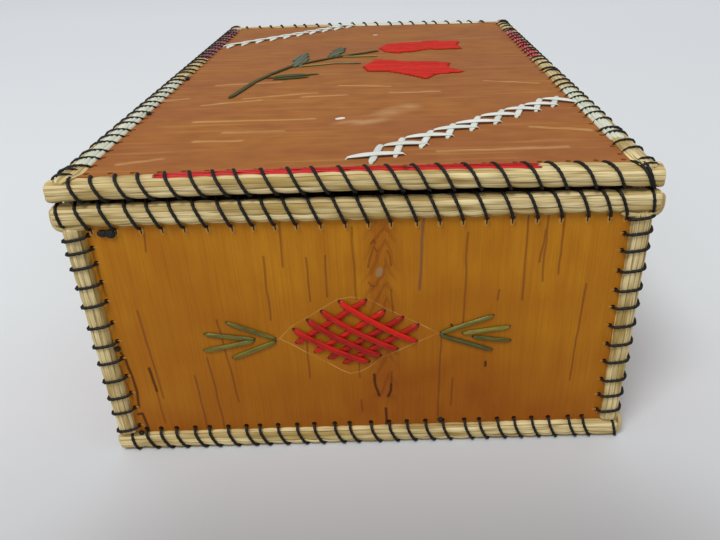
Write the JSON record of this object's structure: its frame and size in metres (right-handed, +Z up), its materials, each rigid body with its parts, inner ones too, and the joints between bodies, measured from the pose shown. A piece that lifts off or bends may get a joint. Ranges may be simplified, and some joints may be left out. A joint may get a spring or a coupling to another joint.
{
  "type": "birch bark box",
  "caption": "Rectangular hinged box of birch bark sheets, edges bound with sweetgrass bundles overcast in thread, with quill decoration on front and lid.",
  "frame": {"origin": "middle of the base, on the surface the box stands on", "axes": "+Z up, -Y towards the decorated short front, +X towards the long side with the hinge ties"},
  "size_m": [0.17, 0.268, 0.098],
  "materials": {
    "lid_bark": "reddish tan bark, satin, fine streaks along the width",
    "wall_bark": "amber bark, satin, upright grain with dark lenticels",
    "lining_bark": "pale inner bark, matt",
    "sweetgrass": "dried grass stems, straw coloured, satin",
    "waxed_thread": "black twisted thread, waxed",
    "red_quill": "dyed porcupine quill, glossy keratin",
    "green_quill": "dyed porcupine quill, glossy keratin",
    "maroon_quill": "dyed porcupine quill, glossy keratin",
    "white_quill": "natural porcupine quill, glossy keratin"
  },
  "bodies": {
    "box": {"back_lining": "lining_bark", "back_panel": "wall_bark", "base_grass_back": "sweetgrass", "base_grass_front": "sweetgrass", "base_grass_left": "sweetgrass", "base_grass_right": "sweetgrass", "base_lining": "lining_bark", "base_panel": "wall_bark", "base_thread_back": "waxed_thread", "base_thread_front": "waxed_thread", "base_thread_left": "waxed_thread", "base_thread_right": "waxed_thread", "corner_grass_back_left": "sweetgrass", "corner_grass_back_right": "sweetgrass", "corner_grass_front_left": "sweetgrass", "corner_grass_front_right": "sweetgrass", "corner_thread_back_left": "waxed_thread", "corner_thread_back_right": "waxed_thread", "corner_thread_front_left": "waxed_thread", "corner_thread_front_right": "waxed_thread", "front_lining": "lining_bark", "front_panel": "wall_bark", "hinge_ties": "waxed_thread", "lattice_falling_quills": "red_quill", "lattice_rising_quills": "red_quill", "left_lining": "lining_bark", "left_panel": "wall_bark", "left_sprig_quills": "green_quill", "right_lining": "lining_bark", "right_panel": "wall_bark", "right_sprig_quills": "green_quill", "rim_grass_back": "sweetgrass", "rim_grass_front": "sweetgrass", "rim_grass_left": "sweetgrass", "rim_grass_right": "sweetgrass", "rim_thread_back": "waxed_thread", "rim_thread_front": "waxed_thread", "rim_thread_left": "waxed_thread", "rim_thread_right": "waxed_thread"},
    "lid": {"back_edging_white": "white_quill", "far_band_quills": "white_quill", "front_edging_red": "red_quill", "left_edging_maroon": "maroon_quill", "left_edging_white": "white_quill", "lid_grass_back": "sweetgrass", "lid_grass_front": "sweetgrass", "lid_grass_left": "sweetgrass", "lid_grass_right": "sweetgrass", "lid_lining": "lining_bark", "lid_panel": "lid_bark", "lid_thread_back": "waxed_thread", "lid_thread_front": "waxed_thread", "lid_thread_left": "waxed_thread", "lid_thread_right": "waxed_thread", "near_band_quills": "white_quill", "red_bloom_quills": "red_quill", "right_edging_red": "red_quill", "right_edging_white": "white_quill", "stem_quills": "green_quill"}
  },
  "joints": [
    {"name": "lid_hinge", "type": "hinge", "parent": "box", "child": "lid", "pos_m": [0.08445, 0, 0.0901], "axis": [0, 1, 0], "range_deg": [0, 110], "deforming": ["hinge_ties"]}
  ]
}
